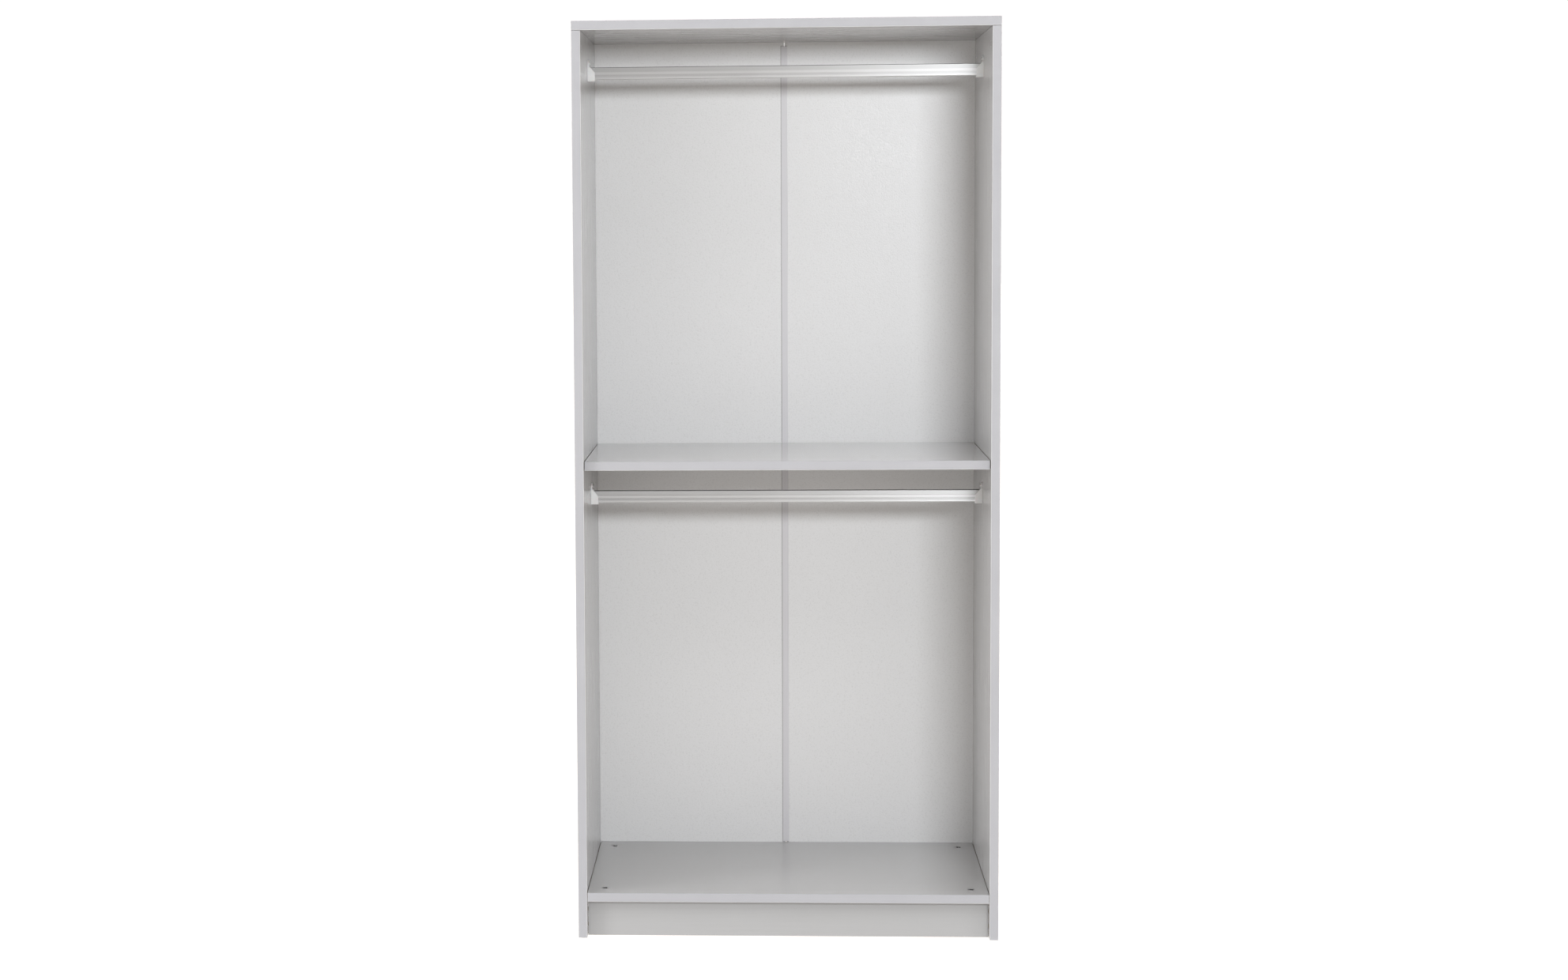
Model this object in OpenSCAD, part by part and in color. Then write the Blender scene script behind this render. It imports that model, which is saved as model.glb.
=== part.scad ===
// Open wardrobe carcass: two hanging spaces, a fixed shelf, two lift-out rails.
// Origin: centre of the footprint on the floor. +X right, +Y to the back, +Z up.

/* [Carcass] */
// Overall width over the top board
overall_w = 850; // [600:10:1000]
// Overall height
overall_h = 1850; // [1600:10:2200]
// Overall depth, edge bands to the back of the joining strip
overall_d = 520; // [420:10:620]
// Thickness of every board
board_t = 18; // [16:1:22]
// Thickness of the edge bands
band_t = 1; // [0.5:0.5:2]
// Height of the bottom board's underside above the floor
plinth_h = 75; // [60:1:110]
// Plinth board's distance behind the front
plinth_setback = 24; // [10:1:50]
// Gap between the plinth board and the floor
plinth_lift = 1; // [0.5:0.5:3]
// Middle shelf's distance behind the front
shelf_setback = 16; // [5:1:40]
// Gap between the middle shelf and the back sheets
shelf_back_gap = 1.5; // [1.5:0.5:4]
// Gap between a side board and the end of a board it carries
board_end_gap = 1; // [0.1:0.1:1]
// Gap between a side board's upper end and the top board
top_gap = 0.7; // [0.1:0.1:1]

/* [Back] */
// Thickness of the two back sheets
sheet_t = 3; // [2.5:0.5:4]
// Margin between a sheet's edges and the carcass edges
sheet_margin = 1; // [0.5:0.5:3]
// Width of the joining strip's flanges
strip_w = 13; // [10:1:20]
// Thickness of the joining strip's flanges
strip_flange_t = 1; // [1:0.5:2]
// Thickness of the joining strip's web
strip_web_t = 1; // [1:0.5:2]
// Joining strip's end below the top board
strip_top_gap = 8; // [4:1:12]
// Joining strip's end above the bottom board
strip_foot_gap = 2; // [1:1:6]

/* [Hanging rails] */
// Rail height
rail_h = 25; // [20:1:30]
// Rail thickness from front to back
rail_t = 14; // [12:1:16]
// Rail wall thickness
rail_wall = 1.5; // [1.2:0.1:2]
// Rail corner radius
rail_corner_r = 1.5; // [1.2:0.1:1.7]
// Rail centre below the board above it
rail_drop = 74; // [60:1:100]
// Gap between a rail's end and the side board
rail_end_gap = 6; // [5.5:0.5:8]

/* [Rail brackets] */
// How far a bracket's cup stands out from the side board
cup_reach = 15; // [13:1:20]
// Thickness of the bracket's back plate
plate_t = 3; // [2:0.5:3]
// Thickness of the cup's front and back walls
cup_wall = 2.5; // [2:0.5:4]
// Thickness of the cup's floor
cup_floor = 3; // [2:0.5:4]
// Top of the cup's outer edge above the rail centre
cup_low_z = 1.5; // [0:0.5:4]
// Top of the cup's sloping edge at the plate above the rail centre
cup_high_z = 15.5; // [13:0.5:16]
// Width of the screw tab
tab_w = 12; // [11:1:14]
// Top of the screw tab above the rail centre
tab_top_z = 28; // [27:1:32]
// Screw centre above the rail centre
tab_screw_z = 20.5; // [20:0.5:22]

/* [Joints] */
// Diameter of a cam lock
cam_d = 15; // [12:1:15]
// Depth of a cam lock
cam_depth = 12.4; // [11:0.1:13]
// Cam centre's distance from the end of its board
cam_inset = 34; // [24:1:34]
// Cams' distance from the front and the back of the boards
cam_edge = 50; // [37:1:80]
// Dowels' distance behind and ahead of the cams
dowel_step = 64; // [32:32:96]
// Dowel diameter
dowel_d = 8; // [6:1:8]
// Longest spacing of the back nails
nail_spacing = 145; // [80:5:200]

/* [Hidden] */
$fn = 48;
fit_gap = 0.1;
overcut = 1;
sides = [-1, 1];

front_y = -overall_d / 2;
sheet_back_y = overall_d / 2 - strip_flange_t;
board_back_y = sheet_back_y - sheet_t;
core_front_y = front_y + band_t;
side_x = overall_w / 2 - board_t;
board_end_x = side_x - board_end_gap;
top_z = overall_h - board_t;
side_top_z = top_z - top_gap;
bottom_top_z = plinth_h + board_t;
shelf_mid_z = (bottom_top_z + top_z) / 2;
shelf_z = shelf_mid_z - board_t / 2;
shelf_front_y = front_y + shelf_setback;
plinth_front_y = front_y + plinth_setback;
plinth_back_y = plinth_front_y + board_t;

cam_ys = [front_y + cam_edge, board_back_y - cam_edge];
dowel_ys = [cam_ys[0] + dowel_step, cam_ys[1] - dowel_step];
plinth_dowel_zs = [plinth_h * 0.3, plinth_h * 0.7];

cam_hole_depth = cam_depth + 0.4;
cam_pocket_r = 3.7;
cam_recess_l = cam_d * 0.8;
cam_recess_w = 3;
cam_recess_d = 3;
bolt_head_r = 3.2;
bolt_head_l = 3;
bolt_neck_r = 2;
bolt_shaft_r = 3.4;
bolt_shaft_l = 25;
bolt_thread_r = 3;
bolt_thread_l = 11;
bolt_rings = 5;
bolt_hole_r = 4;
dowel_edge_l = 18;
dowel_face_l = 12;
dowel_chamfer = 1;

rail_y = (front_y + board_back_y) / 2;
rail_length = 2 * (side_x - rail_end_gap);
rail_zs = [shelf_z - rail_drop, top_z - rail_drop];
groove_depth = 0.8;
// Lower edge and height of the two long recesses, from the rail's centre line
grooves = [[2.7, 8], [-7.2, 4.8]];
core_inset = rail_wall + groove_depth;
rib_w = 0.9;
rib_h = 0.3;

rest_gap = 0.2;
cup_gap = 0.4;
cup_floor_z = -rail_h / 2 - rest_gap;
bracket_bottom_z = cup_floor_z - cup_floor;
bracket_w = rail_t + 2 * cup_gap + 2 * cup_wall;
peg_r = 2.5;
peg_l = 8;
tab_screw = [3.5, 16, 7, 2.2];

block_size = 24;
block_wall = 3;
block_arm_middle = (block_size + block_wall) / 2;
block_x = overall_w * 0.3;
block_screw = [3.5, 14, 7, 2.2];

nail_r = 0.7;
nail_l = 20;
nail_head_r = 1.7;
nail_head_t = 0.6;
nail_side_x = side_x + board_t / 2;
nail_rows = ceil((overall_h - 2 * cam_edge) / nail_spacing);
nail_columns = ceil(side_x / nail_spacing);
nail_zs = [
    for (i = [0 : nail_rows]) bottom_top_z + (top_z - bottom_top_z) * (i + 0.5) / (nail_rows + 1)
];
nail_xs = [for (i = [0 : nail_columns - 1]) side_x * (i + 0.5) / nail_columns];
nail_row_zs = [plinth_h + board_t / 2, top_z + board_t / 2];

laminate = [0.74, 0.74, 0.73];
band_grey = [0.79, 0.80, 0.81];
sheet_grey = [0.80, 0.80, 0.79];
strip_grey = [0.77, 0.77, 0.80];
rail_metal = [0.78, 0.79, 0.80];
white_plastic = [0.88, 0.88, 0.87];
zinc = [0.62, 0.63, 0.64];
steel = [0.70, 0.68, 0.62];
beech = [0.80, 0.66, 0.47];

// ---- Helpers ----

module block(x, y, z) {
    translate([x[0], y[0], z[0]]) cube([x[1] - x[0], y[1] - y[0], z[1] - z[0]]);
}

module on_side(side) {
    mirror([side < 0 ? 1 : 0, 0, 0]) children();
}

// A rod along +X from x0 to x1
module rod_x(r, x0, x1) {
    translate([x0, 0, 0]) rotate([0, 90, 0]) cylinder(r = r, h = x1 - x0);
}

// ---- Places where boards meet ----
// Each place has its origin on the joint face, +X into the side or top board that the bolt
// threads into, and +Z out of the face that shows the cam.

module at_joint(joint, side, y) {
    on_side(side) {
        if (joint == "top") translate([side_x + board_t / 2, y, top_z]) rotate([0, -90, 0]) children();
        if (joint == "shelf") translate([side_x, y, shelf_mid_z]) mirror([0, 0, 1]) children();
        if (joint == "bottom") translate([side_x, y, plinth_h + board_t / 2]) children();
    }
}

module at_cams(joint) {
    for (side = sides, y = cam_ys) at_joint(joint, side, y) children();
}

module at_dowels(joint) {
    for (side = sides, y = dowel_ys) at_joint(joint, side, y) children();
}

module at_plinth_dowels() {
    for (side = sides, z = plinth_dowel_zs)
        on_side(side) translate([side_x, (plinth_front_y + plinth_back_y) / 2, z]) children();
}

module at_plinth_blocks() {
    for (side = sides) translate([side * block_x, plinth_back_y, plinth_h]) children();
}

module at_brackets() {
    for (side = sides, z = rail_zs)
        on_side(side) translate([side_x, rail_y, z]) mirror([1, 0, 0]) children();
}

module at_nails() {
    for (side = sides, z = nail_zs) translate([side * nail_side_x, sheet_back_y, z]) children();
    for (side = sides, x = nail_xs, z = nail_row_zs) translate([side * x, sheet_back_y, z]) children();
}

// ---- Fasteners and their holes ----

module cam_lock() {
    translate([-cam_inset, 0, board_t / 2]) difference() {
        translate([0, 0, -cam_depth]) cylinder(d = cam_d - 2 * fit_gap, h = cam_depth);
        for (turn = [0, 90]) rotate([0, 0, turn + 45])
            translate([-cam_recess_l / 2, -cam_recess_w / 2, -cam_recess_d])
                cube([cam_recess_l, cam_recess_w, cam_recess_d + overcut]);
        translate([0, 0, -board_t / 2]) rod_x(cam_pocket_r, -cam_pocket_r, cam_d);
    }
}

// Rings stand for the bolt's thread
module cam_bolt() {
    ring_l = bolt_thread_l / bolt_rings;
    rod_x(bolt_head_r, -cam_inset - bolt_head_l / 2, -cam_inset + bolt_head_l / 2);
    rod_x(bolt_neck_r, -cam_inset + bolt_head_l / 2, -bolt_shaft_l);
    rod_x(bolt_shaft_r, -bolt_shaft_l, 0);
    for (i = [0 : bolt_rings - 1]) translate([i * ring_l, 0, 0]) rotate([0, 90, 0])
        cylinder(r1 = bolt_thread_r, r2 = bolt_thread_r * 0.75, h = ring_l);
}

module cam_holes() {
    translate([-cam_inset, 0, board_t / 2 - cam_hole_depth])
        cylinder(d = cam_d, h = cam_hole_depth + overcut);
    rod_x(bolt_hole_r, -cam_inset, 0);
    rod_x(bolt_thread_r + fit_gap, 0, bolt_thread_l + fit_gap);
}

module dowel() {
    r = dowel_d / 2;
    end_r = r - dowel_chamfer;
    rotate([0, 90, 0]) rotate_extrude() polygon([
        [0, -dowel_edge_l], [end_r, -dowel_edge_l], [r, -dowel_edge_l + dowel_chamfer],
        [r, dowel_face_l - dowel_chamfer], [end_r, dowel_face_l], [0, dowel_face_l]
    ]);
}

module dowel_hole() {
    rod_x(dowel_d / 2 + fit_gap, -dowel_edge_l - fit_gap, dowel_face_l + fit_gap);
}

module joint_holes(joint) {
    at_cams(joint) cam_holes();
    at_dowels(joint) dowel_hole();
}

// A pan-head screw with its shank along -Z; size is [shank_d, shank_l, head_d, head_h]
module pan_screw(size) {
    recess = size[2] * 0.6;
    slot = size[2] * 0.14;
    translate([0, 0, -size[1]]) cylinder(d = size[0], h = size[1]);
    difference() {
        cylinder(d = size[2], h = size[3]);
        for (turn = [0, 90]) rotate([0, 0, turn])
            translate([-recess / 2, -slot / 2, size[3] * 0.4]) cube([recess, slot, size[3]]);
    }
}

module screw_hole(size) {
    translate([0, 0, -size[1] - fit_gap]) cylinder(d = size[0] + 2 * fit_gap, h = size[1] + fit_gap);
}

module nail() {
    rotate([90, 0, 0]) cylinder(r = nail_r, h = nail_l);
    rotate([-90, 0, 0]) cylinder(r = nail_head_r, h = nail_head_t);
}

module nail_hole() {
    rotate([90, 0, 0]) cylinder(r = nail_r + fit_gap, h = nail_l + fit_gap);
}

module at_tab_screws() {
    at_brackets() translate([plate_t, 0, tab_screw_z]) rotate([0, 90, 0]) children();
}

module at_block_screws() {
    at_plinth_blocks() {
        translate([0, block_arm_middle, -block_wall]) rotate([180, 0, 0]) children();
        translate([0, block_wall, -block_arm_middle]) rotate([-90, 0, 0]) children();
    }
}

// ---- Boards ----

module top_panel() {
    color(laminate) difference() {
        block(
            [-overall_w / 2 + band_t, overall_w / 2 - band_t],
            [core_front_y, board_back_y],
            [top_z, overall_h]
        );
        joint_holes("top");
        at_nails() nail_hole();
    }
}

module side_panel(side) {
    color(laminate) difference() {
        on_side(side) block([side_x, overall_w / 2], [core_front_y, board_back_y], [0, side_top_z]);
        joint_holes("top");
        joint_holes("shelf");
        joint_holes("bottom");
        at_plinth_dowels() dowel_hole();
        at_brackets() rod_x(peg_r + fit_gap, -peg_l - fit_gap, 0);
        at_tab_screws() screw_hole(tab_screw);
        at_nails() nail_hole();
    }
}

module left_side_panel() {
    side_panel(-1);
}

module right_side_panel() {
    side_panel(1);
}

module bottom_panel() {
    color(laminate) difference() {
        block([-board_end_x, board_end_x], [core_front_y, board_back_y], [plinth_h, bottom_top_z]);
        joint_holes("bottom");
        at_block_screws() screw_hole(block_screw);
        at_nails() nail_hole();
    }
}

module middle_shelf() {
    color(laminate) difference() {
        block(
            [-board_end_x, board_end_x],
            [shelf_front_y + band_t, board_back_y - shelf_back_gap],
            [shelf_z, shelf_z + board_t]
        );
        joint_holes("shelf");
    }
}

module plinth_board() {
    color(laminate) difference() {
        block([-board_end_x, board_end_x], [plinth_front_y, plinth_back_y], [plinth_lift, plinth_h]);
        at_plinth_dowels() dowel_hole();
        at_block_screws() screw_hole(block_screw);
    }
}

// ---- Edge bands ----

module top_front_edge_band() {
    color(band_grey) block([-overall_w / 2, overall_w / 2], [front_y, core_front_y], [top_z, overall_h]);
}

module top_end_band(side) {
    color(band_grey) on_side(side)
        block([overall_w / 2 - band_t, overall_w / 2], [core_front_y, board_back_y], [top_z, overall_h]);
}

module top_left_edge_band() {
    top_end_band(-1);
}

module top_right_edge_band() {
    top_end_band(1);
}

module side_edge_band(side) {
    color(band_grey) on_side(side)
        block([side_x, overall_w / 2], [front_y, core_front_y], [0, side_top_z]);
}

module left_side_edge_band() {
    side_edge_band(-1);
}

module right_side_edge_band() {
    side_edge_band(1);
}

module bottom_front_edge_band() {
    color(band_grey) block([-board_end_x, board_end_x], [front_y, core_front_y], [plinth_h, bottom_top_z]);
}

module shelf_front_edge_band() {
    color(band_grey) block(
        [-board_end_x, board_end_x],
        [shelf_front_y, shelf_front_y + band_t],
        [shelf_z, shelf_z + board_t]
    );
}

// ---- Back ----

module back_sheet(side) {
    color(sheet_grey) difference() {
        on_side(side) block(
            [strip_web_t / 2 + fit_gap, overall_w / 2 - sheet_margin],
            [board_back_y, sheet_back_y],
            [plinth_h + sheet_margin, overall_h - sheet_margin]
        );
        at_nails() nail_hole();
    }
}

module back_panel_left() {
    back_sheet(-1);
}

module back_panel_right() {
    back_sheet(1);
}

module back_joining_strip() {
    strip_z = [bottom_top_z + strip_foot_gap, top_z - strip_top_gap];
    color(strip_grey) {
        block([-strip_w / 2, strip_w / 2], [board_back_y - strip_flange_t, board_back_y], strip_z);
        block([-strip_web_t / 2, strip_web_t / 2], [board_back_y, sheet_back_y], strip_z);
        block([-strip_w / 2, strip_w / 2], [sheet_back_y, overall_d / 2], strip_z);
    }
}

module back_panel_nails() {
    color(steel) at_nails() nail();
}

// ---- Hanging rails ----

module rounded_rectangle(w, h, r) {
    square([w, h - 2 * r], center = true);
    square([w - 2 * r, h], center = true);
    for (x = sides, y = sides) translate([x * (w / 2 - r), y * (h / 2 - r)]) circle(r = r);
}

// Section of the rail with its thickness along X and its height along Y. A fine rib runs along the
// middle of the lower recess.
module rail_section() {
    difference() {
        rounded_rectangle(rail_t, rail_h, rail_corner_r);
        rounded_rectangle(rail_t - 2 * core_inset, rail_h - 2 * rail_wall, rail_corner_r / 2);
        for (side = sides, groove = grooves) translate([side * rail_t / 2, groove[0] + groove[1] / 2])
            square([2 * groove_depth, groove[1]], center = true);
    }
    for (side = sides) translate([side * (rail_t / 2 - groove_depth), grooves[1][0] + grooves[1][1] / 2])
        square([2 * rib_h, rib_w], center = true);
}

module hanging_rail(z) {
    color(rail_metal) translate([-rail_length / 2, rail_y, z])
        rotate([90, 0, 90]) linear_extrude(height = rail_length) rail_section();
}

module upper_hanging_rail() {
    hanging_rail(rail_zs[1]);
}

module lower_hanging_rail() {
    hanging_rail(rail_zs[0]);
}

// ---- Rail brackets ----
// The bracket's origin is on the side board at the rail's centre line, +X into the wardrobe.

module bracket_plate() {
    round_z = tab_top_z - tab_w / 2;
    block([0, plate_t], [-bracket_w / 2, bracket_w / 2], [bracket_bottom_z, cup_high_z]);
    block([0, plate_t], [-tab_w / 2, tab_w / 2], [0, round_z]);
    translate([0, 0, round_z]) rod_x(tab_w / 2, 0, plate_t);
}

module cup_side_wall() {
    rotate([90, 0, 0]) linear_extrude(height = cup_wall, center = true) polygon([
        [0, bracket_bottom_z], [cup_reach, bracket_bottom_z], [cup_reach, cup_low_z],
        [plate_t, cup_high_z], [0, cup_high_z]
    ]);
}

module bracket_body() {
    difference() {
        union() {
            bracket_plate();
            for (side = sides) translate([0, side * (bracket_w - cup_wall) / 2, 0]) cup_side_wall();
            block([0, cup_reach], [-bracket_w / 2, bracket_w / 2], [bracket_bottom_z, cup_floor_z]);
            rod_x(peg_r, -peg_l, 0);
        }
        translate([0, 0, tab_screw_z]) rod_x(tab_screw[0] / 2 + fit_gap, -overcut, plate_t + overcut);
    }
}

module rail_bracket(side, z) {
    color(white_plastic) on_side(side) translate([side_x, rail_y, z]) mirror([1, 0, 0]) bracket_body();
}

module upper_left_rail_bracket() {
    rail_bracket(-1, rail_zs[1]);
}

module upper_right_rail_bracket() {
    rail_bracket(1, rail_zs[1]);
}

module lower_left_rail_bracket() {
    rail_bracket(-1, rail_zs[0]);
}

module lower_right_rail_bracket() {
    rail_bracket(1, rail_zs[0]);
}

module rail_bracket_screws() {
    color(zinc) at_tab_screws() pan_screw(tab_screw);
}

// ---- Joint hardware ----

module top_cam_locks() {
    color(zinc) at_cams("top") cam_lock();
}

module bottom_cam_locks() {
    color(zinc) at_cams("bottom") cam_lock();
}

module shelf_cam_locks() {
    color(zinc) at_cams("shelf") cam_lock();
}

module top_cam_bolts() {
    color(steel) at_cams("top") cam_bolt();
}

module bottom_cam_bolts() {
    color(steel) at_cams("bottom") cam_bolt();
}

module shelf_cam_bolts() {
    color(steel) at_cams("shelf") cam_bolt();
}

module top_dowels() {
    color(beech) at_dowels("top") dowel();
}

module bottom_dowels() {
    color(beech) at_dowels("bottom") dowel();
}

module shelf_dowels() {
    color(beech) at_dowels("shelf") dowel();
}

module plinth_dowels() {
    color(beech) at_plinth_dowels() dowel();
}

// ---- Plinth fixing ----

module block_cheek() {
    rotate([90, 0, 90]) linear_extrude(height = block_wall, center = true) polygon([
        [0, 0], [block_size, 0], [block_size, -block_wall], [block_wall, -block_size], [0, -block_size]
    ]);
}

module block_hole() {
    cylinder(d = block_screw[0] + 2 * fit_gap, h = block_wall + 2 * overcut);
}

module corner_block() {
    half = block_size / 2;
    difference() {
        union() {
            block([-half, half], [0, block_size], [-block_wall, 0]);
            block([-half, half], [0, block_wall], [-block_size, 0]);
            for (side = sides) translate([side * (half - block_wall / 2), 0, 0]) block_cheek();
        }
        translate([0, block_arm_middle, -block_wall - overcut]) block_hole();
        translate([0, block_wall + overcut, -block_arm_middle]) rotate([90, 0, 0]) block_hole();
    }
}

module plinth_corner_blocks() {
    color(white_plastic) at_plinth_blocks() corner_block();
}

module plinth_block_screws() {
    color(zinc) at_block_screws() pan_screw(block_screw);
}

// ---- Nodes ----

top_panel();
left_side_panel();
right_side_panel();
bottom_panel();
middle_shelf();
plinth_board();
top_front_edge_band();
top_left_edge_band();
top_right_edge_band();
left_side_edge_band();
right_side_edge_band();
bottom_front_edge_band();
shelf_front_edge_band();
back_panel_left();
back_panel_right();
back_joining_strip();
back_panel_nails();
upper_hanging_rail();
lower_hanging_rail();
upper_left_rail_bracket();
upper_right_rail_bracket();
lower_left_rail_bracket();
lower_right_rail_bracket();
rail_bracket_screws();
top_cam_locks();
bottom_cam_locks();
shelf_cam_locks();
top_cam_bolts();
bottom_cam_bolts();
shelf_cam_bolts();
top_dowels();
bottom_dowels();
shelf_dowels();
plinth_dowels();
plinth_corner_blocks();
plinth_block_screws();
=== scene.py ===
"""Open wardrobe carcass in pale grey laminate, in a plain white studio.

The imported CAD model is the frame. Boards, back sheets, cam bolts and dowels keep their CAD
meshes and get materials. Every other node is rebuilt with rounded edges, and its piece stands
in for it. Everything is in metres, Z is up, and the open front faces -Y.
"""

import math

import bmesh
import bpy
from mathutils import Matrix, Vector


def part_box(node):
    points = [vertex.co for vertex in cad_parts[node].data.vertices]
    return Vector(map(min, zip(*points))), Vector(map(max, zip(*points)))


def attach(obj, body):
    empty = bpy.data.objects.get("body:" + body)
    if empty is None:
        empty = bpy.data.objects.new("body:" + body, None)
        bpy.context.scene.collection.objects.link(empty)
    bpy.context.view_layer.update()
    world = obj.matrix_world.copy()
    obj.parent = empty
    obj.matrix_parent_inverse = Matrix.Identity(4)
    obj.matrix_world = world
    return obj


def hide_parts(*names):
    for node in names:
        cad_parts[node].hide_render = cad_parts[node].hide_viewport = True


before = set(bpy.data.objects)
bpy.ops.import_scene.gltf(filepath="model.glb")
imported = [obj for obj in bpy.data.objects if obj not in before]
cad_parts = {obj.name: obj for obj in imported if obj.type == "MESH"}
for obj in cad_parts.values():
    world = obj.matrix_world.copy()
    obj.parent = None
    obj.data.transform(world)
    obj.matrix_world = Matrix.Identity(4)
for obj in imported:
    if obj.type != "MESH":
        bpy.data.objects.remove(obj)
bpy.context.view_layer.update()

MM = 0.001

# ---- Nodes by kind ----

SIDE_BOARDS = ["left_side_panel", "right_side_panel"]
CARRIED_BOARDS = ["bottom_panel", "middle_shelf", "plinth_board"]
SHEETS = ["back_panel_left", "back_panel_right"]
RAILS = {"upper_hanging_rail": "upper_rail", "lower_hanging_rail": "lower_rail"}
BRACKETS = [
    "upper_left_rail_bracket", "upper_right_rail_bracket",
    "lower_left_rail_bracket", "lower_right_rail_bracket",
]
SCREWS = ["rail_bracket_screws", "plinth_block_screws"]
CAMS = ["top_cam_locks", "bottom_cam_locks", "shelf_cam_locks"]
BOLTS = ["top_cam_bolts", "bottom_cam_bolts", "shelf_cam_bolts"]
DOWELS = ["top_dowels", "bottom_dowels", "shelf_dowels", "plinth_dowels"]

# Each edge band, with the axis (0 is X, 1 is Y) and the sign that it faces.
BANDS = {
    "top_front_edge_band": (1, -1),
    "top_left_edge_band": (0, -1),
    "top_right_edge_band": (0, 1),
    "left_side_edge_band": (1, -1),
    "right_side_edge_band": (1, -1),
    "bottom_front_edge_band": (1, -1),
    "shelf_front_edge_band": (1, -1),
}

# ---- Rounded edges ----

# How far the rounding reaches from each edge.
BAND_ROUNDING = 0.9 * MM
STRIP_ROUNDING = 0.3 * MM
RAIL_ROUNDING = 0.2 * MM
PLASTIC_ROUNDING = 0.5 * MM
METAL_ROUNDING = 0.25 * MM
NAIL_ROUNDING = 0.15 * MM

# Points closer than this are one point, and faces that meet flatter than this are one face.
WELD_DISTANCE = 0.001 * MM
FLAT_ANGLE = math.radians(0.5)

# Edges that turn further than this are rounded on a copied mesh, and stay sharp on a band.
ROUNDED_ANGLE = math.radians(30)
SHARP_ANGLE = math.radians(40)

# ---- Studio ----

# The floor's reach from its middle, and the depth behind which its glow is even.
FLOOR_REACH = 60.0
GLOW_EVEN_Y = -0.7

# The sky's brightness in front of the wardrobe, in the bright band overhead, and behind.
SKY_FRONT = 0.4
SKY_OVERHEAD = 2.4
SKY_BEHIND = 1.04


# ---- Material graphs ----

# A Mix node's two inputs and its output, for each data type.
MIX_SOCKETS = {"FLOAT": (2, 3, 0), "VECTOR": (4, 5, 1), "RGBA": (6, 7, 2)}


class Graph:
    """The node tree of a material or a world, with short calls for the nodes used here."""

    def __init__(self, owner):
        owner.use_nodes = True
        self.tree = owner.node_tree
        self.tree.nodes.clear()

    def add(self, kind, inputs=None, **settings):
        node = self.tree.nodes.new(kind)
        for key, value in settings.items():
            setattr(node, key, value)
        for key, value in (inputs or {}).items():
            self.put(node.inputs[key], value)
        return node

    def put(self, socket, value):
        """Links another node's output to the socket, or sets a constant on it."""
        if isinstance(value, bpy.types.NodeSocket):
            self.tree.links.new(value, socket)
        else:
            socket.default_value = value

    def part(self, vector, axis):
        return self.add("ShaderNodeSeparateXYZ", {"Vector": vector}).outputs[axis]

    def remap(self, value, low, high, to_low, to_high):
        """Stretches low to high over to_low to to_high, and holds still beyond them."""
        inputs = {
            "Value": value, "From Min": low, "From Max": high,
            "To Min": to_low, "To Max": to_high,
        }
        return self.add("ShaderNodeMapRange", inputs).outputs["Result"]

    def spread(self, noise, to_low, to_high):
        """Stretches the range where most of a noise lies over to_low to to_high."""
        return self.remap(noise, 0.3, 0.7, to_low, to_high)

    def math(self, operation, a, b=0.0):
        return self.add("ShaderNodeMath", {0: a, 1: b}, operation=operation).outputs["Value"]

    def mix(self, factor, a, b, data_type="RGBA"):
        """a where the factor is 0 and b where it is 1; colours unless another type is named."""
        first, second, result = MIX_SOCKETS[data_type]
        node = self.add("ShaderNodeMix", {"Factor": factor}, data_type=data_type)
        self.put(node.inputs[first], a)
        self.put(node.inputs[second], b)
        return node.outputs[result]

    def mottle(self, noise, dark, light):
        """A colour that goes from dark to light with a noise."""
        return self.mix(self.spread(noise, 0.0, 1.0), dark, light)


class Surface(Graph):
    """A material's node tree around one Principled shader."""

    def __init__(self, name):
        self.material = bpy.data.materials.new(name)
        super().__init__(self.material)
        self.shader = self.add("ShaderNodeBsdfPrincipled")
        output = self.add("ShaderNodeOutputMaterial")
        self.tree.links.new(self.shader.outputs["BSDF"], output.inputs["Surface"])
        self.place = self.add("ShaderNodeTexCoord").outputs["Object"]

    def set(self, **values):
        """Sets the shader's sockets; an underscore stands for a space."""
        for key, value in values.items():
            self.put(self.shader.inputs[key.replace("_", " ")], value)

    def stretched(self, x, y, z):
        """Texture places scaled along each axis; a small scale makes long streaks."""
        inputs = {"Vector": self.place, "Scale": (x, y, z)}
        return self.add("ShaderNodeMapping", inputs).outputs["Vector"]

    def noise(self, scale, detail=4.0, roughness=0.5, vector=None, distortion=0.0):
        inputs = {
            "Vector": vector or self.place, "Scale": scale, "Detail": detail,
            "Roughness": roughness, "Distortion": distortion,
        }
        return self.add("ShaderNodeTexNoise", inputs).outputs["Fac"]

    def cells(self, scale, output="Distance"):
        inputs = {"Vector": self.place, "Scale": scale}
        return self.add("ShaderNodeTexVoronoi", inputs).outputs[output]

    def bump(self, height, distance, strength):
        inputs = {"Height": height, "Distance": distance, "Strength": strength}
        return self.add("ShaderNodeBump", inputs).outputs["Normal"]

    def surface_normal(self):
        return self.add("ShaderNodeTexCoord").outputs["Normal"]

    def facing(self, axis, sign):
        """1 where the flat surface faces along the axis, and 0 elsewhere."""
        along = self.math("MULTIPLY", self.part(self.surface_normal(), axis), sign)
        return self.math("GREATER_THAN", along, 0.5)

    def side_or_lower_edge(self):
        """0 on faces square to the axes, up to 0.7 on front edges rounded sideways or down."""
        normal = self.surface_normal()
        forward = self.math("ABSOLUTE", self.part(normal, "Y"))
        sideways = self.math("ABSOLUTE", self.part(normal, "X"))
        downward = self.math("MULTIPLY", self.part(normal, "Z"), -1.0)
        return self.math("MINIMUM", forward, self.math("MAXIMUM", sideways, downward))


def grey(value, warm=0.0):
    """A linear colour of that brightness; warm above 0 is yellower, below 0 is bluer."""
    return (value * (1 + warm), value, value * (1 - warm), 1.0)


# ---- Board materials ----

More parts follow.
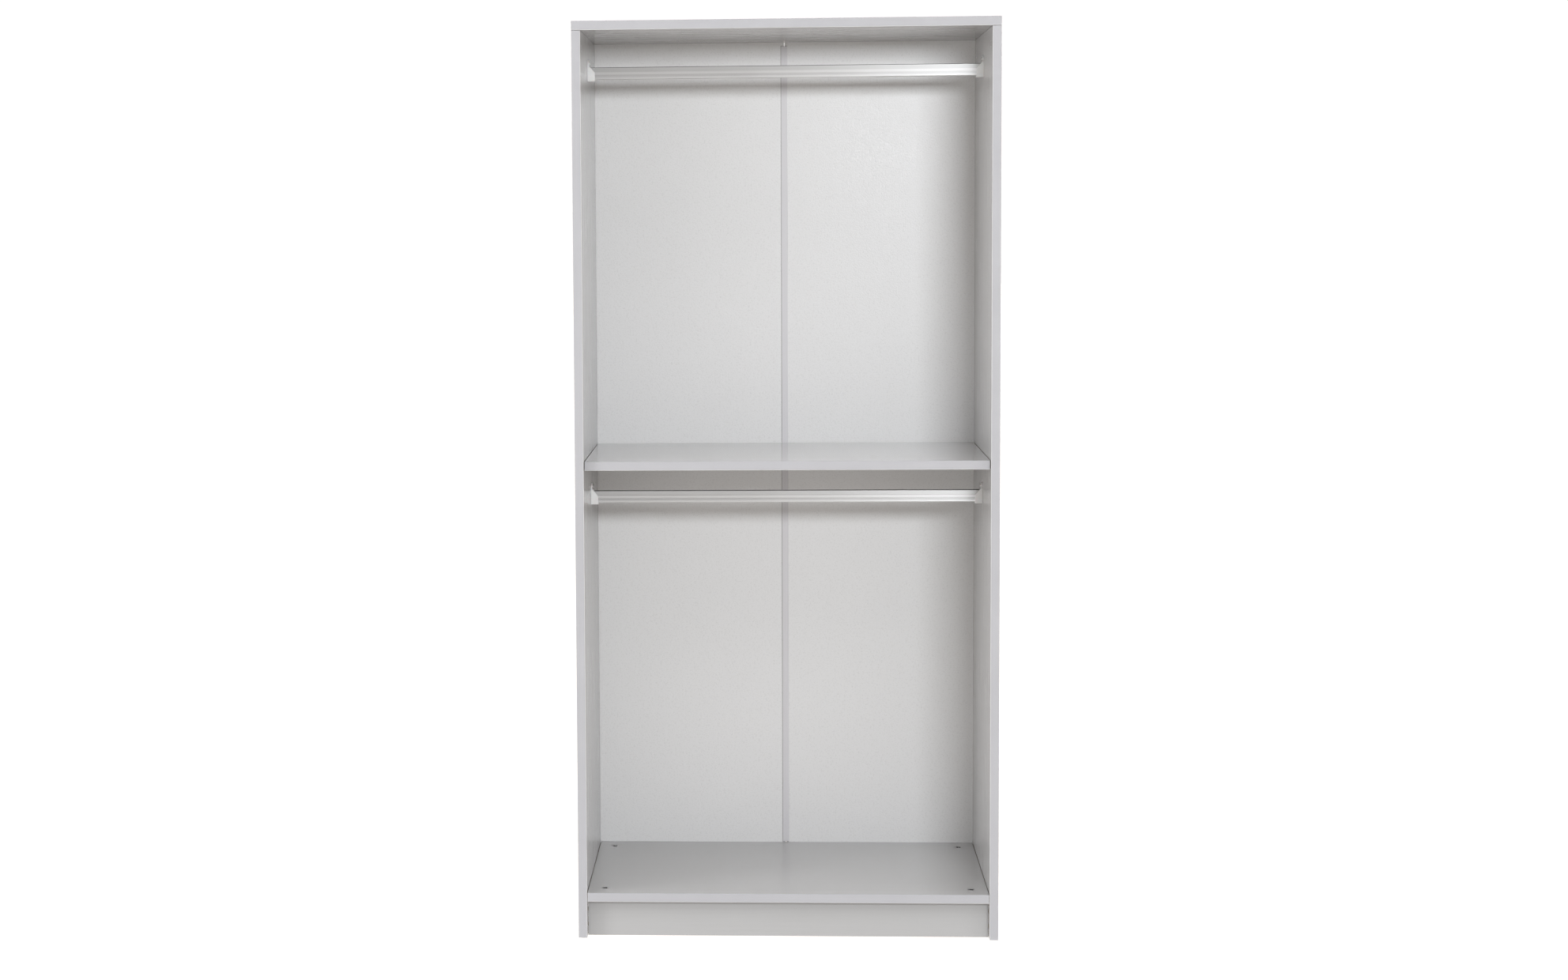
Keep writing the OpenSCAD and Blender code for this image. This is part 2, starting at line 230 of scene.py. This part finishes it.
def raw_board(graph):
    """Colour and height of a cut particle board edge."""
    flakes = graph.cells(900, "Color")
    pits = graph.cells(1400)
    flake_value = graph.add("ShaderNodeSeparateColor", {"Color": flakes}).outputs[0]
    colour = graph.mix(flake_value, (0.24, 0.16, 0.09, 1), (0.50, 0.37, 0.23, 1))
    pit_depth = graph.remap(pits, 0.0, 0.35, 0.75, 0.0)
    colour = graph.mix(pit_depth, colour, (0.16, 0.10, 0.05, 1))
    return colour, pits


def raw_mask(graph, raw_faces):
    """1 on the cut faces, each given by its axis and sign, and 0 elsewhere."""
    mask = 0.0
    for axis, sign in raw_faces:
        mask = graph.math("MAXIMUM", mask, graph.facing(axis, sign))
    return mask


def joint_shade_mask(graph, nodes):
    """1 on a side board's inner face where the end of one of those nodes covers it, 0 elsewhere."""
    inner_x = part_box("right_side_panel")[0].x
    across = graph.math("ABSOLUTE", graph.part(graph.place, "X"))
    mask = 0.0
    for node in nodes:
        low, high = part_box(node)
        inside = graph.math("LESS_THAN", across, inner_x + 0.5 * MM)
        for axis, start, end in [("Y", low.y, high.y), ("Z", low.z, high.z)]:
            place = graph.part(graph.place, axis)
            inside = graph.math("MULTIPLY", inside, graph.math("GREATER_THAN", place, start))
            inside = graph.math("MULTIPLY", inside, graph.math("LESS_THAN", place, end))
        mask = graph.math("MAXIMUM", mask, inside)
    return mask


def laminate(name, grain, brightness, contrast, roughness, raw_faces, covers=(), warm=0.01):
    """Melamine-faced board with a printed grain along one axis and raw cut faces.

    contrast is the grain's strength. covers are the nodes whose ends hide part of the face;
    that hidden part is painted dark as painted shade, so the joint slots show dark.
    """
    graph = Surface(name)
    grain_scales = {"X": (1.0, 26.0, 26.0), "Z": (26.0, 26.0, 1.0)}
    along = graph.stretched(*grain_scales[grain])
    streaks = graph.noise(5.0, detail=7.0, roughness=0.62, vector=along, distortion=0.35)
    fibres = graph.noise(26.0, roughness=0.6, vector=along)
    clouds = graph.noise(3.5, detail=3.0)

    streak_share = graph.math("MULTIPLY", streaks, 0.6)
    fibre_share = graph.math("MULTIPLY", fibres, 0.4)
    dark = grey(brightness * (1 - contrast), warm)
    light = grey(brightness * (1 + contrast), warm - 0.004)
    colour = graph.mottle(graph.math("ADD", streak_share, fibre_share), dark, light)
    colour = graph.mix(graph.spread(clouds, 0.0, 0.10), colour, grey(brightness * 0.84, 0.01))
    if covers:
        # Painted shade: the part of the face hidden under a board end is painted near black, so the
        # joint slot shows dark.
        colour = graph.mix(joint_shade_mask(graph, covers), colour, grey(0.06, 0.1))

    pores = graph.math("MULTIPLY", fibres, contrast * 12)
    pimples = graph.math("MULTIPLY", graph.noise(1200, detail=2.0), 0.2)
    gloss = graph.spread(streaks, roughness, roughness + contrast)
    raw_colour, raw_height = raw_board(graph)
    mask = raw_mask(graph, raw_faces)
    smooth = graph.bump(graph.math("ADD", pores, pimples), distance=0.03 * MM, strength=0.6)
    rough = graph.bump(raw_height, distance=0.5 * MM, strength=0.8)
    graph.set(
        Base_Color=graph.mix(mask, colour, raw_colour),
        Roughness=graph.math("MAXIMUM", gloss, graph.math("MULTIPLY", mask, 0.9)),
        Normal=graph.mix(mask, smooth, rough, "VECTOR"),
    )
    return graph.material


def edge_band():
    """Plain plastic edge band with a few specks, and a painted highlight on its rounded side and
    lower edges.
    """
    graph = Surface("edge_band")
    tone = graph.noise(9.0, detail=3.0)
    specks = graph.remap(graph.cells(30.0), 0.02, 0.05, 0.6, 0.0)
    scuffed = graph.remap(graph.noise(14.0, detail=3.0), 0.54, 0.62, 0.0, 1.0)
    edge_highlight = graph.remap(graph.side_or_lower_edge(), 0.1, 0.4, 0.0, 0.9)
    # Painted shade: the band's colour is the boards' laminate made darker, to offset the strong
    # light the lamps put on front faces.
    colour = graph.mottle(tone, (0.267, 0.268, 0.281, 1), (0.281, 0.282, 0.295, 1))
    colour = graph.mix(graph.math("MULTIPLY", specks, scuffed), colour, grey(0.14, 0.05))
    # Painted highlight: the rounded side and lower edges are paler, standing in for the glint of
    # light on them.
    colour = graph.mix(edge_highlight, colour, grey(0.5))
    graph.set(
        Base_Color=colour,
        Roughness=graph.spread(graph.noise(60.0, detail=3.0), 0.52, 0.62),
        Normal=graph.bump(graph.noise(700.0, detail=3.0), distance=0.02 * MM, strength=0.5),
    )
    return graph.material


# ---- Back materials ----

def strip_shadow_mask(graph):
    """1 in the thin painted shadow line along the joining strip's left edge and its upper end."""
    line_inner = 1.0 * MM
    line_outer = 1.8 * MM
    low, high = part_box("back_joining_strip")
    across = graph.part(graph.place, "X")
    up = graph.part(graph.place, "Z")
    left = graph.remap(across, low.x - line_outer, low.x - line_inner, 0.0, 1.0)
    inside = graph.math("LESS_THAN", across, high.x)
    below = graph.remap(up, high.z + line_inner, high.z + line_outer, 1.0, 0.0)
    return graph.math("MULTIPLY", graph.math("MULTIPLY", left, inside), below)


def back_sheet():
    """Hardboard: speckled pale lacquer in front, bare brown fibre behind and on the edges."""
    graph = Surface("back_sheet")
    speckle = graph.noise(300.0, roughness=0.7)
    clouds = graph.noise(4.0, detail=3.0)
    flecks = graph.remap(speckle, 0.35, 0.65, 0.0, 1.0)
    front = graph.mix(flecks, grey(0.584, 0.002), grey(0.600))
    front = graph.mix(graph.spread(clouds, 0.0, 0.12), front, grey(0.53, 0.002))
    # Painted shadow: a thin dark line on the sheet beside the strip's left edge and above its upper
    # end.
    strip_shadow = graph.math("MULTIPLY", strip_shadow_mask(graph), 0.6)
    front = graph.mix(strip_shadow, front, grey(0.12, 0.03))

    fibres = graph.noise(230.0, detail=6.0, roughness=0.75, distortion=1.2)
    blotches = graph.noise(30.0)
    rear = graph.mottle(fibres, (0.20, 0.115, 0.055, 1), (0.36, 0.235, 0.13, 1))
    rear = graph.mix(graph.remap(blotches, 0.35, 0.75, 0.0, 0.5), rear, (0.26, 0.16, 0.085, 1))

    lacquered = graph.facing("Y", -1)
    lacquer_roughness = graph.remap(speckle, 0.35, 0.65, 0.24, 0.40)
    graph.set(
        Base_Color=graph.mix(lacquered, rear, front),
        Roughness=graph.remap(lacquered, 0, 1, 0.85, lacquer_roughness),
        Normal=graph.bump(
            graph.mix(lacquered, fibres, speckle), distance=0.4 * MM, strength=0.6),
    )
    return graph.material


def joining_strip():
    """Extruded plastic with fine lines along it."""
    graph = Surface("joining_strip")
    along = graph.stretched(140.0, 140.0, 1.0)
    lines = graph.noise(8.0, detail=5.0, roughness=0.7, vector=along)
    graph.set(
        Base_Color=graph.mottle(lines, (0.482, 0.475, 0.49, 1), (0.518, 0.51, 0.527, 1)),
        Roughness=graph.spread(lines, 0.3, 0.42),
        Normal=graph.bump(lines, distance=0.03 * MM, strength=0.5),
    )
    return graph.material


# ---- Hardware materials ----

def rail_aluminium():
    """Drawn aluminium, with painted shade in its side recesses and a painted dark reflection on its
    upward faces.
    """
    graph = Surface("rail_aluminium")
    drawn_lines = graph.stretched(1.0, 900.0, 900.0)
    drawn = graph.noise(2.0, detail=6.0, roughness=0.7, vector=drawn_lines)
    smears = graph.noise(9.0, roughness=0.6, vector=graph.stretched(1.0, 6.0, 6.0))
    colour = graph.mottle(drawn, grey(0.43), grey(0.50, 0.004))
    colour = graph.mix(graph.remap(smears, 0.5, 0.8, 0.0, 0.12), colour, grey(0.38))

    low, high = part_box("upper_hanging_rail")
    middle = (low.y + high.y) / 2
    half = (high.y - low.y) / 2
    from_middle = graph.math("SUBTRACT", graph.part(graph.place, "Y"), middle)
    sideways = graph.math("ABSOLUTE", from_middle)
    recess_shade = graph.remap(sideways, half - 0.7 * MM, half - 0.2 * MM, 0.3, 0.0)
    # Painted shade: faces set back into the side recesses are darker.
    colour = graph.mix(recess_shade, colour, grey(0.22))

    upward = graph.part(graph.surface_normal(), "Z")
    # Painted dark reflection: faces turned upward are darkened to stand in for the shaded boards
    # above that they reflect.
    colour = graph.mix(graph.remap(upward, 0.02, 0.3, 0.0, 0.8), colour, grey(0.11))
    tangent = graph.add("ShaderNodeTangent", direction_type="RADIAL", axis="X")
    graph.set(
        Base_Color=colour,
        Metallic=0.23,
        Roughness=graph.spread(drawn, 0.33, 0.37),
        Anisotropic=0.96,
        Tangent=tangent.outputs["Tangent"],
        Normal=graph.bump(drawn, distance=0.01 * MM, strength=0.5),
    )
    return graph.material


def moulded_plastic(name, brightness):
    """White plastic with a fine mould texture and a little light passing through."""
    graph = Surface(name)
    tone = graph.noise(90.0, detail=3.0)
    graph.set(
        Base_Color=graph.mottle(tone, grey(brightness * 0.95), grey(brightness)),
        Roughness=graph.spread(graph.noise(300.0, detail=3.0), 0.3, 0.42),
        Subsurface_Weight=0.08,
        Subsurface_Scale=2 * MM,
        Normal=graph.bump(graph.noise(1500.0, detail=2.0), distance=0.02 * MM, strength=0.6),
    )
    return graph.material


def plated_metal(name, dark, light, roughness):
    """Cast or plated small hardware with mottled grain."""
    graph = Surface(name)
    along = graph.stretched(60.0, 8.0, 60.0)
    grains = graph.noise(600.0, detail=5.0, roughness=0.65)
    scratches = graph.noise(30.0, detail=5.0, roughness=0.7, vector=along)
    graph.set(
        Base_Color=graph.mottle(grains, dark, light),
        Metallic=1.0,
        Roughness=graph.spread(scratches, roughness, roughness + 0.15),
        Normal=graph.bump(grains, distance=0.05 * MM, strength=0.6),
    )
    return graph.material


def beech():
    """Dowel wood with its grain along X."""
    graph = Surface("dowel_beech")
    along = graph.stretched(20.0, 200.0, 200.0)
    rings = graph.noise(9.0, detail=5.0, roughness=0.6, vector=along)
    graph.set(
        Base_Color=graph.mottle(rings, (0.48, 0.31, 0.17, 1), (0.68, 0.49, 0.30, 1)),
        Roughness=graph.spread(rings, 0.55, 0.7),
        Normal=graph.bump(rings, distance=0.1 * MM, strength=0.6),
    )
    return graph.material


# ---- Rounded pieces ----

def copied_mesh(node):
    """A clean copy of a CAD node's mesh: welded, with its flat triangles joined."""
    mesh = bmesh.new()
    mesh.from_mesh(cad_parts[node].data)
    bmesh.ops.remove_doubles(mesh, verts=mesh.verts, dist=WELD_DISTANCE)
    bmesh.ops.dissolve_limit(mesh, angle_limit=FLAT_ANGLE, verts=mesh.verts, edges=mesh.edges)
    return mesh


def linked_object(name, mesh, material):
    """Turns a bmesh into an object of the scene."""
    data = bpy.data.meshes.new(name)
    mesh.to_mesh(data)
    mesh.free()
    data.materials.append(material)
    item = bpy.data.objects.new(name, data)
    bpy.context.scene.collection.objects.link(item)
    return item


def stand_in(node, mesh, material, body):
    """A piece that rides on the body and stands in for the node."""
    piece = linked_object("visual_" + node, mesh, material)
    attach(piece, body)
    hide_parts(node)
    return piece


def flatten_shading(piece):
    """Smooth shading in which the large faces keep their own flat normals."""
    piece.data.shade_smooth()
    normals = piece.modifiers.new("flat_faces", "WEIGHTED_NORMAL")
    normals.mode = "FACE_AREA"
    normals.weight = 100
    normals.keep_sharp = True


def rounded_copy(node, body, material, width, segments=3):
    """The node's own shape with its sharp edges rounded."""
    piece = stand_in(node, copied_mesh(node), material, body)
    bevel = piece.modifiers.new("rounding", "BEVEL")
    bevel.width = width
    bevel.segments = segments
    bevel.limit_method = "ANGLE"
    bevel.angle_limit = ROUNDED_ANGLE
    flatten_shading(piece)


def rounded_band(node, axis, sign, material):
    """An edge band that faces along the axis, with the edges of its outer face rounded."""
    low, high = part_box(node)
    outer = (high if sign > 0 else low)[axis]
    mesh = bmesh.new()
    place = Matrix.LocRotScale((low + high) / 2, None, high - low)
    bmesh.ops.create_cube(mesh, size=1.0, matrix=place)
    edges = []
    for edge in mesh.edges:
        if all(abs(vertex.co[axis] - outer) < WELD_DISTANCE for vertex in edge.verts):
            edges.append(edge)
    bmesh.ops.bevel(
        mesh, geom=edges, offset=BAND_ROUNDING, segments=4, profile=0.5, affect="EDGES")
    piece = stand_in(node, mesh, material, "carcass")
    flatten_shading(piece)
    piece.data.set_sharp_from_angle(angle=SHARP_ANGLE)


# ---- Dressing the frame ----

def dress(nodes, material):
    """Gives CAD nodes that stay visible their material."""
    for node in nodes:
        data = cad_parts[node].data
        data.materials.clear()
        data.materials.append(material)


def dress_boards():
    rear = [("Y", 1)]
    ends = [("X", 1), ("X", -1)]
    foot = [("Z", -1)]
    # All boards are one laminate; their different brightness values are painted light and shade,
    # offsetting the uneven light that each board gets.
    dress(["top_panel"], laminate(
        "laminate_top", grain="X", brightness=0.32, contrast=0.07, roughness=0.18,
        raw_faces=rear))
    dress(["middle_shelf"], laminate(
        "laminate_shelf", grain="X", brightness=0.385, contrast=0.004, roughness=0.15,
        raw_faces=rear + ends))
    dress(["bottom_panel"], laminate(
        "laminate_bottom", grain="X", brightness=0.325, contrast=0.006, roughness=0.18,
        raw_faces=rear + ends))
    dress(["plinth_board"], laminate(
        "laminate_plinth", grain="X", brightness=0.277, contrast=0.02, roughness=0.22,
        raw_faces=ends + foot, warm=0.0))
    dress(SIDE_BOARDS, laminate(
        "laminate_side", grain="Z", brightness=0.368, contrast=0.05, roughness=0.18,
        raw_faces=rear + foot, covers=CARRIED_BOARDS))


def dress_back():
    dress(SHEETS, back_sheet())
    rounded_copy("back_joining_strip", "carcass", joining_strip(),
                 STRIP_ROUNDING)
    nail = plated_metal("nail_steel", grey(0.42), grey(0.6), roughness=0.3)
    rounded_copy("back_panel_nails", "carcass", nail, NAIL_ROUNDING, segments=2)


def add_bands():
    material = edge_band()
    for node, (axis, sign) in BANDS.items():
        rounded_band(node, axis, sign, material)


def add_rails():
    material = rail_aluminium()
    for node, body in RAILS.items():
        rounded_copy(node, body, material, RAIL_ROUNDING, segments=2)


def add_plastic_parts():
    bracket = moulded_plastic("bracket_plastic", brightness=0.60)
    for node in BRACKETS:
        rounded_copy(node, "carcass", bracket, PLASTIC_ROUNDING)
    block = moulded_plastic("block_plastic", brightness=0.66)
    rounded_copy("plinth_corner_blocks", "carcass", block, PLASTIC_ROUNDING)


def add_hardware():
    screw = plated_metal("screw_steel", grey(0.5), grey(0.68), roughness=0.22)
    for node in SCREWS:
        rounded_copy(node, "carcass", screw, METAL_ROUNDING)
    cam = plated_metal("cam_zinc", grey(0.17), grey(0.32), roughness=0.38)
    for node in CAMS:
        rounded_copy(node, "carcass", cam, METAL_ROUNDING)
    bolt = plated_metal(
        "bolt_steel", (0.48, 0.42, 0.25, 1), (0.66, 0.6, 0.42, 1), roughness=0.25)
    dress(BOLTS, bolt)
    dress(DOWELS, beech())


# ---- Studio ----

def add_floor():
    """A wide pale floor that glows, a little less and warmer towards the camera."""
    graph = Surface("studio_floor")
    tone = graph.spread(graph.noise(1.5, detail=3.0), 0.32, 0.34)
    depth = graph.part(graph.place, "Y")
    far = graph.remap(depth, -1.2, GLOW_EVEN_Y, 0.0, 1.0)
    graph.set(
        Base_Color=graph.mix(tone, grey(0.34), grey(0.36)),
        Roughness=0.9,
        Specular_IOR_Level=0.0,
        Emission_Color=graph.mix(far, grey(1.0, 0.11), grey(1.0, 0.05)),
        Emission_Strength=graph.remap(depth, -3.2, GLOW_EVEN_Y, 0.5, 0.87),
    )
    mesh = bmesh.new()
    bmesh.ops.create_grid(mesh, x_segments=8, y_segments=8, size=FLOOR_REACH)
    linked_object("studio_floor", mesh, graph.material)


def add_world():
    """A white dome: even behind the object, and in front dim with a bright band overhead.

    The camera sees all of it as even white, so only its light is uneven.
    """
    world = bpy.data.worlds.new("studio")
    bpy.context.scene.world = world
    graph = Graph(world)
    direction = graph.add("ShaderNodeTexCoord").outputs["Generated"]
    height = graph.part(direction, "Z")
    horizon = graph.remap(height, 0.05, 0.15, 0.25, 0.0)
    band_foot = graph.remap(height, 0.5, 0.6, SKY_FRONT, SKY_OVERHEAD)
    band_head = graph.remap(height, 0.84, 0.92, SKY_OVERHEAD, SKY_FRONT)
    front = graph.math("ADD", horizon, graph.math("MINIMUM", band_foot, band_head))
    behind = graph.remap(graph.part(direction, "Y"), -0.05, 0.05, 0.0, 1.0)
    seen = graph.add("ShaderNodeLightPath").outputs["Is Camera Ray"]
    even = graph.math("MAXIMUM", behind, seen)
    background = graph.add("ShaderNodeBackground", {
        "Color": (1.015, 0.99, 0.985, 1),
        "Strength": graph.mix(even, front, SKY_BEHIND, "FLOAT"),
    })
    output = graph.add("ShaderNodeOutputWorld")
    graph.put(output.inputs["Surface"], background.outputs["Background"])


def add_softbox(name, place, target, width, height, power, colour=(1.0, 1.0, 1.0)):
    light = bpy.data.lights.new(name, "AREA")
    light.color = colour
    light.shape = "RECTANGLE"
    light.size = width
    light.size_y = height
    light.energy = power
    lamp = bpy.data.objects.new(name, light)
    lamp.location = place
    lamp.visible_camera = False
    aim = Vector(target) - Vector(place)
    lamp.rotation_euler = aim.to_track_quat("-Z", "Y").to_euler()
    bpy.context.scene.collection.objects.link(lamp)


def add_lights():
    """One bright softbox beside the camera, a weaker one on each side and one above."""
    add_softbox("key_softbox", place=(1.15, -5.95, 2.17), target=(0.0, 0.0, 0.9),
                width=1.3, height=0.6, power=189.0, colour=(0.97, 1.0, 1.03))
    add_softbox("left_softbox", place=(-4.0, -2.3, 1.5), target=(0.4, 0.0, 1.0),
                width=1.2, height=2.2, power=105.0)
    add_softbox("right_softbox", place=(4.0, -2.3, 1.5), target=(-0.4, 0.0, 1.0),
                width=1.2, height=2.2, power=23.0)
    add_softbox("top_softbox", place=(0.0, -2.2, 4.5), target=(0.0, -1.0, 0.0),
                width=2.0, height=1.2, power=15.0)


def add_camera():
    """Camera at the photograph's height, distance and angles, with its sideways framing."""
    place = Matrix.Translation((-0.0353, -6.2968, 1.4573))
    yaw = Matrix.Rotation(math.radians(3.42), 4, "Z")
    pitch = Matrix.Rotation(math.radians(90 - 5.113), 4, "X")
    roll = Matrix.Rotation(math.radians(-0.47), 4, "Z")
    data = bpy.data.cameras.new("camera")
    data.sensor_width = 36.0
    data.lens = 69.37
    data.shift_x = 0.1243
    data.clip_end = 500.0
    camera = bpy.data.objects.new("camera", data)
    camera.matrix_world = place @ yaw @ pitch @ roll
    bpy.context.scene.collection.objects.link(camera)
    bpy.context.scene.camera = camera


add_camera()
dress_boards()
dress_back()
add_bands()
add_rails()
add_plastic_parts()
add_hardware()
add_floor()
add_world()
add_lights()
bpy.context.scene.view_settings.view_transform = "Standard"
